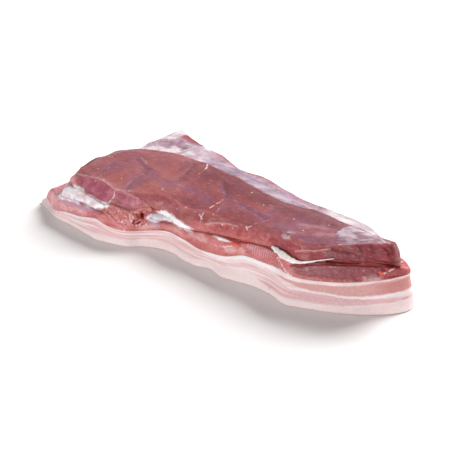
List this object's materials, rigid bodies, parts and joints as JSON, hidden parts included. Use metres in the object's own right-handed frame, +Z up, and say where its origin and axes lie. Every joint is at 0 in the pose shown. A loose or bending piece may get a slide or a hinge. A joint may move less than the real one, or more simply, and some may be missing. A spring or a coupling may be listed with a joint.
{
  "type": "pork flank",
  "caption": "Raw slab of pork flank lying rind down: streaky fat with its rind, a shelf of lean, a white fat seam and a long flat muscle on top.",
  "frame": {"origin": "middle of the footprint's box, on the surface that the rind lies on", "axes": "+X along the cut from its thin left tip to its thick right end, +Y from the long front side to the back, +Z up from the rind"},
  "size_m": [0.3369, 0.1758, 0.0603],
  "materials": {
    "fat_and_rind": "moist pale pink streaky fat, smooth rind below",
    "lower_lean": "moist raw lean, fine short grain",
    "white_fat": "moist white fat and skin between muscles",
    "upper_lean": "moist brownish lean under a thin film"
  },
  "bodies": {
    "root": {"belly_fat": "fat_and_rind", "lower_muscle": "lower_lean", "seam_fat": "white_fat", "upper_muscle": "upper_lean"}
  },
  "joints": []
}
